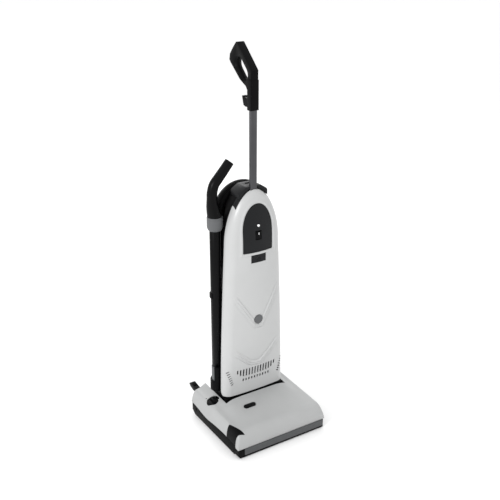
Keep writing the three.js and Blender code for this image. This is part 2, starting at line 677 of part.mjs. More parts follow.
function bodyInside() {
  const y = MOTOR_Y;
  const motor = turnedZ([[0, 150], [18, 150], [29.5, 160], [29.5, 236], [25, 240], [0, 240]], 0, y);
  piece("suction_motor", motor, GREY);
  const blades = Array.from({ length: 8 }, (_, i) =>
    box(9, 26, -1, 1, 246, 262).rotate([0, 0, i * 45]).translate([0, y, 0]),
  );
  const hub = turnedZ([[0, 243], [27, 243], [27, 246.5], [10, 247], [10, 264], [0, 264]], 0, y);
  piece("fan_rotor", join(hub, ...blades), STEEL);
  const cowl = turnedZ(
    [[28, 241], [30, 241], [30, 270], [18, 275], [18, 272], [28, 267.5], [28, 241]], 0, y,
  );
  piece("fan_cowl", cowl, BLACK);

  const frame = box(-76, 76, -10, 44, 304, 326).intersect(prismZ(planOf(4, -20), 300, 330));
  const pleats = Array.from({ length: 9 }, (_, i) =>
    box(-66 + i * 15.5, -58 + i * 15.5, -12, 20, 300, 322),
  );
  piece("exhaust_filter", cut(frame, ...pleats), PAPER);
  piece("dust_bag", pillow(74, 28, 112, 0, 12, 448), PAPER);
}

// A soft pillow: a ball with flattened sides, x, y and z half sizes first, then its middle.
function pillow(a, b, c, x, y, z) {
  const soft = (t) => Math.sign(t) * Math.pow(Math.abs(t), 0.6);
  const rows = Array.from({ length: 11 }, (_, i) => {
    const up = (i / 10 - 0.5) * Math.PI;
    return Array.from({ length: 17 }, (_, j) => {
      const round = (j / 16) * 2 * Math.PI;
      const out = i === 0 || i === 10 ? 0 : soft(Math.cos(up));
      return new THREE.Vector3(
        x + a * out * soft(Math.cos(round)),
        y + b * out * soft(Math.sin(round)),
        z + c * soft(Math.sin(up)),
      );
    });
  });
  return solid(gridGeometry(rows));
}

// ---------------------------------------------------------------- hose and wand

function hoseParts() {
  const { x, y, r, foot, arch, port } = HOSE;
  const route = new THREE.CurvePath();
  route.add(new THREE.LineCurve3(new THREE.Vector3(-x, y, foot), new THREE.Vector3(-x, y, arch)));
  route.add(new (class extends THREE.Curve {
    getPoint(t, target = new THREE.Vector3()) {
      const a = Math.PI * (1 - t);
      return target.set(x * Math.cos(a), y, arch + x * Math.sin(a));
    }
  })());
  route.add(new THREE.LineCurve3(new THREE.Vector3(x, y, arch), new THREE.Vector3(x, y, port)));
  piece("suction_hose", swept(route, r, 10, 38), BLACK);

  const saddle = join(
    prismY(arc(0, arch, x - r - 1, 0, 180, 16), 50.3, 88),
    prismY(arc(0, arch, x - r + 3, 20, 160, 14).concat([[0, arch + 10]]), 50.3, 52.5),
  );
  const hollow = prismY(arc(0, arch, x - r - 6, 0, 180, 16).map(([a, b]) => [a, b + 3]), 54, 100);
  piece("hose_saddle", cut(saddle, hollow), BLACK);

  const port1 = cut(
    join(rodZ(23, 226, port + 12, x, y), box(x - 34, x + 14, 50.3, y + 8, 216, 250)),
    rodZ(r + 0.4, port - 0.3, port + 20, x, y),
    rodZ(r - 3, 232, port + 5, x, y),
    rodY(12, 40, y, x - 12, 236, 20),
  );
  piece("hose_port", port1, BLACK);
}

function capsule(ax, ay, bx, by, r, z0, z1) {
  const turn = THREE.MathUtils.radToDeg(Math.atan2(by - ay, bx - ax));
  const points = [...arc(ax, ay, r, turn + 90, turn + 270, 12), ...arc(bx, by, r, turn - 90, turn + 90, 12)];
  return prismZ(points, z0, z1);
}

// A round bar along a bend in the XZ plane through y, from a list of [x, z, radius].
function tapered(stations, y, sides) {
  const rows = stations.map(([x, z, r], i) => {
    const before = stations[Math.max(0, i - 1)];
    const after = stations[Math.min(stations.length - 1, i + 1)];
    const run = new THREE.Vector2(after[0] - before[0], after[1] - before[1]).normalize();
    return Array.from({ length: sides + 1 }, (_, j) => {
      const a = (j / sides) * 2 * Math.PI;
      const out = r * Math.sin(a);
      return new THREE.Vector3(x - out * run.y, y + r * Math.cos(a), z + out * run.x);
    });
  });
  const end = ([x, z]) => Array.from({ length: sides + 1 }, () => new THREE.Vector3(x, y, z));
  return solid(gridGeometry([end(stations[0]), ...rows, end(stations.at(-1))]));
}

function wandParts() {
  const { x, y, r } = WAND;
  const body = prismZ(planOf(-GAP, 0), 110, 460);
  const cradle = [...arc(x, y, 21.5, -146, 20, 12), ...arc(x, y, 18, 20, -146, 12)];
  const dock = cut(
    join(
      capsule(x, y, -HOSE.x, HOSE.y, 22, 118, 152),
      box(-HOSE.x, -40, 50.3, 62, 118, 152),
      prismZ(cradle, 150, 201),
    ),
    body,
    rodZ(18, 123.7, 160, x, y),
    rodZ(HOSE.r + 0.4, 123.7, 160, -HOSE.x, HOSE.y),
    capsule(x, y, -HOSE.x, HOSE.y, 12, 121, 140),
  );
  piece("wand_dock", dock, BLACK);

  const ring = (outer, z0, z1) =>
    turnedZ([[r - 2.5, z0], [outer, z0], [outer, z1], [r - 2.5, z1], [r - 2.5, z0]], x, y);
  piece("wand_cuff", ring(17.5, 124, 199), GREY);
  piece("wand_tube", ring(r, 199.3, 639.7), BLACK);
  const collar = [
    [13.5, 640], [17.3, 640], [19, 641], [22.3, 648], [23, 652], [23, 679], [22, 681], [13.5, 681],
    [13.5, 640],
  ];
  piece("wand_collar", turnedZ(collar, x, y, 28), GREY);

  // The hand tube narrows out of the collar and bends over in front of the hose's arch.
  const bend = [
    [0.5, 675, 22.4], [-3.5, 695, 19.8], [-6.8, 712, 17.3], [-7.3, 735, 15.6], [-6.9, 753, 15],
    [-0.3, 774, 14.8], [12, 789, 14.6], [29, 808, 14.2], [50.6, 833.3, 13.6],
  ].map(([dx, z, radius]) => [x + dx, z, radius]);
  const bore = bend.map(([px, pz, radius]) => [px, pz, radius - 3]);
  bore.unshift([x + 0.5, 665, 19.4]);
  bore.push([x + 55, 838.5, 10.6]);
  const foot = box(-140, -70, 0, 80, 600, 681.3);
  piece("hand_tube", cut(tapered(bend, y, 20), tapered(bore, y, 16), foot), BLACK);

  const clip = cut(
    join(
      prismZ(arc(x, y, 19.5, -20, 200, 12), 430, 444),
      box(-96, -78, 26, 44, 430, 444),
    ),
    rodZ(r + GAP, 420, 450, x, y),
    body,
  );
  piece("wand_clip", clip, BLACK);
}

// ---------------------------------------------------------------- handle

function handle() {
  const { half, y0, y1, foot, top } = TUBE;
  const flat = (inset) => {
    const r = 4 - inset;
    const [w, a, b] = [half - inset, y0 + inset, y1 - inset];
    return [
      ...arc(w - r, b - r, r, 0, 90, 3), ...arc(-w + r, b - r, r, 90, 180, 3),
      ...arc(-w + r, a + r, r, 180, 270, 3), ...arc(w - r, a + r, r, 270, 360, 3),
    ];
  };
  const tube = cut(prismZ(flat(0), foot, top), prismZ(flat(1.6), foot - 1, top + 1));
  piece("handle_tube", tube, ALUMINIUM);

  const socket = cut(
    join(box(-16, 16, -6, 12, 684, 735), box(-8, 8, 11, 46.7, 684, 730)),
    box(-half - GAP, half + GAP, y0 - GAP, y1 + GAP, 680, 745),
  );
  piece("handle_socket", socket, BLACK);

  const archAt = (x) => {
    const c = Math.pow(Math.abs(x) / ARCH_HALF, 1 / 1.1);
    return ARCH_BASE + ARCH_RISE * Math.pow(1 - c * c, 0.55);
  };
  const block = (drop, front, rear) => {
    const under = Array.from({ length: 13 }, (_, i) => -46 + (i * 92) / 12);
    return prismY(
      [
        ...under.map((x) => [x, archAt(x) - drop]),
        [46, 747], [43, 752], [24, 764.5], [-24, 764.5], [-43, 752], [-46, 747],
      ],
      front,
      rear,
    );
  };
  const edge = dish(0, BODY_FOOT, RIM_Y)
    .subtract(dish(WALL, BODY_FOOT - 5, RIM_Y + 5))
    .intersect(box(-59.7, 59.7, -1.2, RIM_Y, 705.3, 790));
  const crown = cut(
    join(block(1.5, -1.2, RIM_Y), block(-0.6, RIM_Y - 1, 48), edge),
    box(-half - GAP, half + GAP, y0 - 2, y1 + GAP, 700, 790),
    box(-9, 9, 26, 36, 759, 770),
  );
  piece("crown_cap", crown, DARK);

  const s = SLEEVE;
  const sleeve = cut(
    box(-s.half, s.half, s.y0, s.y1, s.z0, s.z1),
    box(-half - GAP, half + GAP, y0 - GAP, y1 + GAP, s.z0 - 1, top + 1),
    rodY(3.3, 10.5, 20, 0, HOOK_Z, 16),
  );
  piece("handle_sleeve", sleeve, BLACK);
  piece("grip_loop", gripLoop(), BLACK);

  const hook = [
    [13.5, 1011], [17.5, 1011], [20.5, 1008], [38.5, 1008], [41.5, 1011], [49.5, 1011],
    [42, 986], [33.5, 983], [13.5, 983],
  ];
  const bore = rodY(3.3, 10, 31.5, 0, HOOK_Z, 16);
  piece("upper_cord_hook", cut(prismX(hook, -7, 7), bore), BLACK);
  piece("hook_pivot", rodY(3, 11, 30.5, 0, HOOK_Z, 16), STEEL);

  const lower = [[50.3, 330], [96, 326], [104, 314], [108, 314], [104, 334], [98, 342], [50.3, 348]];
  piece("lower_cord_hook", prismX(lower, -9, 9), BLACK);
  const gland = turnedZ([[4.2, 0], [9, 0], [9, 4], [7, 6], [5.6, 20], [4.2, 20], [4.2, 0]], 0, 0, 16)
    .rotate([-90, 0, 0])
    .translate([-34, 50.3, INLET_Z]);
  piece("cord_gland", gland, BLACK);
}

// The loop grip leans back from the top of the sleeve. along runs up its front edge, and in
// runs square to that, into the loop.
function gripLoop() {
  const a = THREE.MathUtils.degToRad(GRIP.slope);
  const at = (along, inward) => [
    GRIP.y + along * Math.cos(a) + inward * Math.sin(a),
    GRIP.z + along * Math.sin(a) - inward * Math.cos(a),
  ];
  const seat = SLEEVE.z1 + GAP;
  const rear = SLEEVE.y1 + GAP;
  const loop = [
    [SLEEVE.y0, seat], [SLEEVE.y0, 1078], at(2, 0.5), at(30, 0), at(GRIP.long - 4, 0),
    at(GRIP.long, 4), at(GRIP.long + 1, 30), at(GRIP.long, 52), at(GRIP.long - 5, 60),
    at(96, 66), at(86, 67), at(55, 65), at(25, 63), [rear + 9, 1040], [rear, 1028], [rear, seat],
  ];
  const hand = [...arc(21, 37, 13, 90, 270, 8), ...arc(57, 37, 13, -90, 90, 8)]
    .map(([along, inward]) => at(along, inward));
  return cut(prismX(loop, -GRIP.half, GRIP.half), prismX(hand, -20, 20));
}

function screws() {
  SCREWS.forEach(([x, z], i) => {
    screw(`housing_screw_${i + 1}`, (mesh) => {
      mesh.position.set(x, HOUSING_REAR + GAP, z);
      mesh.rotation.x = -Math.PI / 2;
    });
  });
}

headCover();
headInside();
running();
headControls();
frontCover();
controls();
housing();
neck();
bodyInside();
hoseParts();
wandParts();
handle();
screws();

export default root;
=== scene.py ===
import json
import math

import bmesh
import bpy
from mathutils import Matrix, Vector, noise


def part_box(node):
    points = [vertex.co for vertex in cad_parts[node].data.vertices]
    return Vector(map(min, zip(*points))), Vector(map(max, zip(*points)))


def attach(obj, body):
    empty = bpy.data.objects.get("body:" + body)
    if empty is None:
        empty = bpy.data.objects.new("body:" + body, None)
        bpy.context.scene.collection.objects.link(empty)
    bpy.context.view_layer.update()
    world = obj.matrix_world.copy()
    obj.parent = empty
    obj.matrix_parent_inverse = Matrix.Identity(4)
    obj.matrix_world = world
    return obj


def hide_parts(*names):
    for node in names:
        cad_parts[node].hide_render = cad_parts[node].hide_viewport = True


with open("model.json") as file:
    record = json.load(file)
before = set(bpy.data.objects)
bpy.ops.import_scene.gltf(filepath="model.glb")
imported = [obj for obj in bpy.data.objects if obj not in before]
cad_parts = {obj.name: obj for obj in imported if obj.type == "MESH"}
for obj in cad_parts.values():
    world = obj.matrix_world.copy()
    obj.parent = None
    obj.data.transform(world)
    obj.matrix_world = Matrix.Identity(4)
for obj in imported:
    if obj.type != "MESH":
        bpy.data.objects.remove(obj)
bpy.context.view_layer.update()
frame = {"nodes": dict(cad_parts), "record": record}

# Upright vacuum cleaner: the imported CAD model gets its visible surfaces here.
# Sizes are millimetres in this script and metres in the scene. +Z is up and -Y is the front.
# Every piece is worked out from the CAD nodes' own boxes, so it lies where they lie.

MM = 0.001

# ---------------------------------------------------------------- camera, floor and light

AZIMUTH, ELEVATION = math.radians(-32.105), math.radians(22.82)
TARGET = Vector((-0.0253, -0.022, 0.5832))
DISTANCE = 2.28


def add_camera():
    data = bpy.data.cameras.new("camera")
    data.lens = 57.6
    data.sensor_width = 36
    camera = bpy.data.objects.new("camera", data)
    back = Vector((
        math.sin(AZIMUTH) * math.cos(ELEVATION),
        -math.cos(AZIMUTH) * math.cos(ELEVATION),
        math.sin(ELEVATION),
    ))
    camera.location = TARGET + back * DISTANCE
    camera.rotation_mode = "QUATERNION"
    camera.rotation_quaternion = (-back).to_track_quat("-Z", "Y")
    bpy.context.scene.collection.objects.link(camera)
    bpy.context.scene.camera = camera


def add_light(name, place, size, power, look_at=(0, 0, 0.5)):
    data = bpy.data.lights.new(name, "AREA")
    data.energy = power
    data.shape = "DISK"
    data.size = size
    lamp = bpy.data.objects.new(name, data)
    lamp.location = place
    lamp.rotation_mode = "QUATERNION"
    lamp.rotation_quaternion = (Vector(look_at) - Vector(place)).to_track_quat("-Z", "Y")
    bpy.context.scene.collection.objects.link(lamp)


def add_studio():
    world = bpy.data.worlds.new("studio")
    world.use_nodes = True
    world.node_tree.nodes["Background"].inputs["Color"].default_value = (1, 1, 1, 1)
    world.node_tree.nodes["Background"].inputs["Strength"].default_value = 1.08
    bpy.context.scene.world = world
    bpy.context.scene.view_settings.view_transform = "Standard"
    add_light("key", (-2.9, -1.0, 2.0), 1.0, 46)
    add_light("fill", (2.4, -2.2, 1.4), 2.0, 3)
    add_light("back", (0.8, 2.6, 2.2), 1.6, 24)

    mesh = bpy.data.meshes.new("floor")
    half = 60
    corners = [(-half, -half, 0), (half, -half, 0), (half, half, 0), (-half, half, 0)]
    mesh.from_pydata(corners, [], [(0, 1, 2, 3)])
    floor = bpy.data.objects.new("floor", mesh)
    bpy.context.scene.collection.objects.link(floor)
    pale = bpy.data.materials.new("floor_paper")
    pale.use_nodes = True
    shader = pale.node_tree.nodes["Principled BSDF"]
    shader.inputs["Base Color"].default_value = (0.93, 0.93, 0.93, 1)
    shader.inputs["Roughness"].default_value = 0.9
    floor.data.materials.append(pale)


# ---------------------------------------------------------------- materials

# Moulded or painted surface: a base colour that varies a little, fine moulding texture,
# faint rubbed marks and dust, and roughness that follows them.
def surface_material(
    name, color, rough, metal=0.0, grain=900.0, grain_depth=0.02, wear=0.25, blotch=0.06,
    coat=0.0, sheen=0.0, shine=0.5,
):
    made = bpy.data.materials.new(name)
    made.use_nodes = True
    nodes, links = made.node_tree.nodes, made.node_tree.links
    shader = nodes["Principled BSDF"]
    shader.inputs["Metallic"].default_value = metal
    shader.inputs["Coat Weight"].default_value = coat
    shader.inputs["Coat Roughness"].default_value = 0.18
    shader.inputs["Sheen Weight"].default_value = sheen
    shader.inputs["Specular IOR Level"].default_value = shine
    place = nodes.new("ShaderNodeTexCoord").outputs["Object"]

    def noise(scale, detail, roughness=0.55, stretch=None):
        texture = nodes.new("ShaderNodeTexNoise")
        texture.inputs["Scale"].default_value = scale
        texture.inputs["Detail"].default_value = detail
        texture.inputs["Roughness"].default_value = roughness
        if stretch:
            mapping = nodes.new("ShaderNodeMapping")
            mapping.inputs["Scale"].default_value = stretch
            links.new(place, mapping.inputs["Vector"])
            links.new(mapping.outputs["Vector"], texture.inputs["Vector"])
        else:
            links.new(place, texture.inputs["Vector"])
        return texture.outputs["Fac"]

    def between(value, low, high, to_low=0.0, to_high=1.0):
        node = nodes.new("ShaderNodeMapRange")
        for key, number in zip(
            ("From Min", "From Max", "To Min", "To Max"), (low, high, to_low, to_high)
        ):
            node.inputs[key].default_value = number
        links.new(value, node.inputs["Value"])
        return node.outputs["Result"]

    def mixed(factor, first, second):
        node = nodes.new("ShaderNodeMix")
        node.data_type = "RGBA"
        links.new(factor, node.inputs["Factor"])
        for socket, value in (("A", first), ("B", second)):
            target = next(i for i in node.inputs if i.name == socket and i.type == "RGBA")
            if isinstance(value, tuple):
                target.default_value = value
            else:
                links.new(value, target)
        return next(o for o in node.outputs if o.type == "RGBA")

    def shade(factor):
        return tuple(min(1.0, c * factor) for c in color) + (1.0,)

    patches = between(noise(14, 5), 0.35, 0.65)
    body = mixed(patches, shade(1 - blotch), shade(1 + blotch))
    scuffs = between(noise(60, 8, 0.7, (1.0, 1.0, 0.18)), 0.63, 0.74, 0.0, wear)
    dust = (0.42, 0.41, 0.39, 1.0) if sum(color) < 0.9 else (0.36, 0.35, 0.33, 1.0)
    color_out = mixed(between(scuffs, 0, 1, 0, 0.35), body, dust)
    links.new(color_out, shader.inputs["Base Color"])

    spread = nodes.new("ShaderNodeMath")
    spread.operation = "MULTIPLY_ADD"
    links.new(scuffs, spread.inputs[0])
    spread.inputs[1].default_value = 0.5
    links.new(between(noise(35, 4), 0.3, 0.7, rough - 0.05, rough + 0.05), spread.inputs[2])
    links.new(spread.outputs["Value"], shader.inputs["Roughness"])

    bump = nodes.new("ShaderNodeBump")
    bump.inputs["Strength"].default_value = 0.35
    bump.inputs["Distance"].default_value = grain_depth * MM * 10
    links.new(noise(grain, 3), bump.inputs["Height"])
    links.new(bump.outputs["Normal"], shader.inputs["Normal"])
    return made


def make_materials():
    return {
        "light": surface_material("cover_plastic", (0.455, 0.46, 0.46), 0.36, grain=1500,
                                  grain_depth=0.01, wear=0.08, blotch=0.012, coat=0.2),
        "head": surface_material("head_plastic", (0.36, 0.365, 0.365), 0.42, grain=1500,
                                 grain_depth=0.012, wear=0.2, blotch=0.02, coat=0.1),
        "black": surface_material("black_plastic", (0.0022, 0.0022, 0.0025), 0.48, grain=1300,
                                  grain_depth=0.03, wear=0.02, blotch=0.1, shine=0.07),
        "gloss_black": surface_material("black_tube_plastic", (0.002, 0.002, 0.0023), 0.3,
                                        grain=700, grain_depth=0.01, wear=0.02, shine=0.1),
        "dark": surface_material("dark_plastic", (0.010, 0.0105, 0.0115), 0.42, grain=1500,
                                 grain_depth=0.03, wear=0.04, shine=0.14),
        "grey": surface_material("grey_plastic", (0.09, 0.093, 0.097), 0.45, grain=1300,
                                 grain_depth=0.03, wear=0.1, shine=0.4),
        "tube": surface_material("anodised_tube", (0.075, 0.075, 0.08), 0.36, metal=0.85,
                                 grain=1800, grain_depth=0.012, wear=0.1, blotch=0.05),
        "rubber": surface_material("bumper_rubber", (0.066, 0.068, 0.071), 0.68, grain=900,
                                   grain_depth=0.06, wear=0.3, sheen=0.1, shine=0.3),
        "tyre": surface_material("black_rubber", (0.010, 0.010, 0.010), 0.72, grain=900,
                                 grain_depth=0.07, wear=0.25, shine=0.2),
        "steel": surface_material("bright_steel", (0.55, 0.55, 0.56), 0.28, metal=1.0,
                                  grain=2500, grain_depth=0.01, wear=0.15),
        "hose": surface_material("hose_plastic", (0.002, 0.002, 0.0023), 0.4, grain=900,
                                 grain_depth=0.02, wear=0.03, shine=0.1),
        "motor": surface_material("motor_paint", (0.23, 0.23, 0.24), 0.4, metal=0.4,
                                  grain=900, grain_depth=0.03, wear=0.2),
        "bristle": surface_material("nylon_bristle", (0.02, 0.02, 0.022), 0.55, grain=2600,
                                    grain_depth=0.1, wear=0.3),
        "paper": surface_material("filter_paper", (0.6, 0.57, 0.51), 0.85, grain=700,
                                  grain_depth=0.12, wear=0.3, blotch=0.05, sheen=0.2),
        "lamp": surface_material("lamp_lens", (0.93, 0.93, 0.93), 0.15, grain=500,
                                 grain_depth=0.004, wear=0.02, blotch=0.01, coat=0.5),
    }


add_camera()
add_studio()
LOOK = make_materials()
SLOT_LOOK = {
    "light_plastic": "light", "head_plastic": "head", "black_plastic": "black",
    "dark_plastic": "dark", "grey_plastic": "grey", "tube_metal": "tube",
    "bumper_rubber": "rubber", "tyre": "tyre", "steel": "steel", "fan_metal": "steel",
    "motor_metal": "motor", "bristle": "bristle", "hose_plastic": "hose", "paper": "paper",
    "lamp": "lamp",
}
SLOT = {s["node"]: s["material_slot"] for s in frame["record"]["subparts"]}
BODY = {n: b for b, ns in frame["record"]["behaviour"]["bodies"].items() for n in ns}
finished = set()  # CAD nodes that have their visible piece


# ---------------------------------------------------------------- building pieces

class Span:
    """A CAD node's box in millimetres."""

    def __init__(self, node):
        low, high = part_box(node)
        self.x0, self.y0, self.z0 = (v / MM for v in low)
        self.x1, self.y1, self.z1 = (v / MM for v in high)
        self.x, self.y, self.z = (
            (self.x0 + self.x1) / 2, (self.y0 + self.y1) / 2, (self.z0 + self.z1) / 2,
        )


def new_object(name, mesh):
    made = bpy.data.objects.new(name, mesh)
    bpy.context.scene.collection.objects.link(made)
    return made


# Closed mesh from points in millimetres; doubled points are joined and faces turned out.
def mesh_object(name, points, faces):
    mesh = bpy.data.meshes.new(name)
    mesh.from_pydata([[v * MM for v in p] for p in points], [], faces)
    shell = bmesh.new()
    shell.from_mesh(mesh)
    bmesh.ops.remove_doubles(shell, verts=shell.verts, dist=0.002 * MM)
    bmesh.ops.dissolve_degenerate(shell, dist=0.001 * MM, edges=shell.edges)
    bmesh.ops.recalc_face_normals(shell, faces=shell.faces)
    shell.to_mesh(mesh)
    shell.free()
    return new_object(name, mesh)


# Rows of points joined into a skin. wrap joins each row's end to its start, and ends says
# what becomes of the first and last row: "capped", "joined" to each other, or "open".
def skin(name, rows, wrap=True, ends="capped"):
    wide = len(rows[0])
    points = [p for row in rows for p in row]
    faces = []
    last = len(rows) if ends == "joined" else len(rows) - 1
    for i in range(last):
        lower, upper = i * wide, ((i + 1) % len(rows)) * wide
        for j in range(wide if wrap else wide - 1):
            k = (j + 1) % wide
            faces.append((lower + j, lower + k, upper + k, upper + j))
    if ends == "capped":
        faces.append(tuple(reversed(range(wide))))
        faces.append(tuple(range(len(points) - wide, len(points))))
    return mesh_object(name, points, faces)


# A list of 2D points with each corner rounded by up to r.
def eased(points, r, closed=True, steps=4):
    made = []
    count = len(points)
    for i, p in enumerate(points):
        if not closed and i in (0, count - 1):
            made.append(p)
            continue
        before, after = points[i - 1], points[(i + 1) % count]
        reach_in = min(r, math.dist(p, before) * 0.48)
        reach_out = min(r, math.dist(p, after) * 0.48)
        start = toward(p, before, reach_in)
        end = toward(p, after, reach_out)
        for k in range(steps + 1):
            t = k / steps
            a, b, c = (1 - t) ** 2, 2 * t * (1 - t), t * t
            made.append(tuple(a * s + b * m + c * e for s, m, e in zip(start, p, end)))
    return made


def toward(p, q, reach):
    length = math.dist(p, q) or 1.0
    return tuple(a + (b - a) * reach / length for a, b in zip(p, q))


def arc(cx, cy, r, start, end, steps):
    angles = [math.radians(start + (end - start) * i / steps) for i in range(steps + 1)]
    return [(cx + r * math.cos(a), cy + r * math.sin(a)) for a in angles]


# A closed outline moved inwards by some millimetres, along its own normals.
def inset(points, by):
    area = sum(
        a[0] * b[1] - b[0] * a[1] for a, b in zip(points, points[1:] + points[:1])
    )
    side = 1 if area > 0 else -1
    made = []
    for i, p in enumerate(points):
        before, after = points[i - 1], points[(i + 1) % len(points)]
        dx, dy = after[0] - before[0], after[1] - before[1]
        length = math.hypot(dx, dy) or 1.0
        made.append((p[0] - side * dy / length * by, p[1] + side * dx / length * by))
    return made


PLACE = {
    "x": lambda u, v, w: (w, u, v),
    "y": lambda u, v, w: (u, w, v),
    "z": lambda u, v, w: (u, v, w),
}


# A bar of one outline along an axis, its two ends rounded over by soft.
def prism(name, outline, axis, low, high, soft=0.8, steps=3):
    rows = []
    for end, way in ((low, 1), (high, -1)):
        angles = [math.pi / 2 * k / steps for k in range(steps + 1)]
        ring = [(soft * (1 - math.sin(a)), end + way * soft * (1 - math.cos(a))) for a in angles]
        rows += ring if way > 0 else ring[::-1]
    return skin(name, [
        [PLACE[axis](u, v, w) for u, v in inset(outline, by)] for by, w in rows
    ])


# A turned piece about an axis along x, y or z through the centre (two other coordinates).
# closed says that the profile of (radius, place along the axis) is a ring's section.
def turned(name, profile, axis, centre, sides=72, closed=False, wave=None):
    rows = []
    for r, along in profile:
        row = []
        for i in range(sides):
            a = 2 * math.pi * i / sides
            reach = r + (wave(a, r, along) if wave else 0)
            row.append(PLACE[axis](
                centre[0] + reach * math.cos(a), centre[1] + reach * math.sin(a), along,
            ))
        rows.append(row)
    return skin(name, rows, ends="joined" if closed else "capped")


# Cutters are taken from, or added to, the object; the result is kept as its mesh.
def boolean(target, tools, operation="DIFFERENCE"):
    for tool in tools:
        step = target.modifiers.new(operation.lower(), "BOOLEAN")
        step.operation = operation
        step.solver = "EXACT"
        step.object = tool
        apply_modifiers(target)
        bpy.data.objects.remove(tool)
    return target


def joined(name, pieces):
    shell = bmesh.new()
    for piece in pieces:
        shell.from_mesh(piece.data)
        bpy.data.objects.remove(piece)
    mesh = bpy.data.meshes.new(name)
    shell.to_mesh(mesh)
    shell.free()
    return new_object(name, mesh)


def apply_modifiers(target):
    bpy.context.view_layer.update()
    evaluated = target.evaluated_get(bpy.context.evaluated_depsgraph_get())
    mesh = bpy.data.meshes.new_from_object(evaluated)
    target.modifiers.clear()
    target.data = mesh


def soften_edges(target, width, segments=2, angle=32):
    step = target.modifiers.new("edges", "BEVEL")
    step.width = width * MM
    step.segments = segments
    step.limit_method = "ANGLE"
    step.angle_limit = math.radians(angle)
    step.use_clamp_overlap = True
    step.harden_normals = False
    apply_modifiers(target)
    return target


# Faces are shaded round, with a crease wherever they meet at more than the angle.
def shade(target, angle=34):
    mesh = target.data
    shell = bmesh.new()
    shell.from_mesh(mesh)
    limit = math.radians(angle)
    for edge in shell.edges:
        edge.smooth = len(edge.link_faces) == 2 and edge.calc_face_angle(0) < limit
    for face in shell.faces:
        face.smooth = True
    shell.to_mesh(mesh)
    shell.free()


# The piece takes the place of CAD nodes: it rides on their body, with their slot and look.
def stand_in(made, *nodes, look=None, angle=34):
    shade(made, angle)
    made.data.materials.clear()
    made.data.materials.append(LOOK[look or SLOT_LOOK[SLOT[nodes[0]]]])
    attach(made, BODY[nodes[0]])
    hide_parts(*nodes)
    finished.update(nodes)
    return made


# An extra piece on a body, beside the CAD nodes, such as a printed mark, a row of ribs or a painted
# highlight.
def extra(made, body, look, angle=34):
    shade(made, angle)
    made.data.materials.clear()
    made.data.materials.append(LOOK[look])
    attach(made, body)
    return made


# A copy of a CAD solid with its edges eased, for pieces whose shape is already right.
def refined(node, width=0.5, segments=2, look=None, angle=34):
    mesh = frame["nodes"][node].data.copy()
    copy = new_object(f"{node}_finished", mesh)
    shell = bmesh.new()
    shell.from_mesh(mesh)
    bmesh.ops.remove_doubles(shell, verts=shell.verts, dist=0.01 * MM)
    bmesh.ops.dissolve_limit(
        shell, angle_limit=math.radians(1.0), verts=shell.verts, edges=shell.edges,
    )
    shell.to_mesh(mesh)
    shell.free()
    if width:
        soften_edges(copy, width, segments)
    return stand_in(copy, node, look=look, angle=angle)


# ---------------------------------------------------------------- front cover and its fittings

COVER = Span("front_cover")
PANEL = Span("control_panel")
BADGE = Span("round_badge")
HINGE = Span("cover_hinge_rod")
WALL = 3.0
CLEAR = 0.5  # between the cover and what sits in its openings
ARCH_BASE = 600.0  # the outline turns into an arch here
ARCH_HALF = 89.5
ARCH_RISE = 162.0
SPRING = ARCH_BASE + 40  # the panel's sides turn into its head here
EDGE_R = 24.0  # rounding of the front face into its sides
CORNER_Y = COVER.y1 - EDGE_R
BULGE = CORNER_Y - COVER.y0
FOOT_BULGE = 5.0
FOOT_HALF = COVER.x1
SWITCH_Z, SWITCH_HALF, SWITCH_TALL = 625.0, 10.3, 13.7
KNUCKLE_X = 28


def smooth(t):
    t = min(1.0, max(0.0, t))
    return t * t * (3 - 2 * t)


# Right half of the cover's outline as (x, z), from its foot to the top of the arch.
def cover_outline(by, straight, crown):
    made = []
    for i in range(straight):
        z = COVER.z0 + (ARCH_BASE - COVER.z0) * i / straight
        t = (z - COVER.z0) / (ARCH_BASE - COVER.z0)
        made.append((FOOT_HALF - (FOOT_HALF - ARCH_HALF) * t ** 1.45 - by, z))
    for i in range(crown + 1):
        a = math.pi / 2 * i / crown
        x = 0.0 if i == crown else (ARCH_HALF - by) * math.cos(a) ** 1.1
        made.append((x, ARCH_BASE + (ARCH_RISE - by) * math.sin(a) ** 1.1))
    return made


# Where the front face lies, a given distance in from the outline towards the spine.
def cover_face(inward, reach, by, z):
    r = EDGE_R - by
    bulge = FOOT_BULGE + (BULGE - FOOT_BULGE) * smooth((z - COVER.z0) / 190)
    crowned = bulge * (1 - max(0.0, 1 - inward / reach) ** 2)
    rounded = r - math.sqrt(r * r - (r - inward) ** 2) if inward < r else 0.0
    return CORNER_Y + by - crowned + rounded


def from_line(x, z, line):
    best = math.inf
    for (ax, az), (bx, bz) in zip(line, line[1:]):
        dx, dz = bx - ax, bz - az
        t = min(1.0, max(0.0, ((x - ax) * dx + (z - az) * dz) / (dx * dx + dz * dz)))
        best = min(best, math.hypot(x - ax - t * dx, z - az - t * dz))
    return best


UPPER_V = [(-72, 437), (-8, 338), (8, 338), (75, 452)]
LOWER_V = [(-88, 266), (-24, 211), (8, 206), (78, 272)]


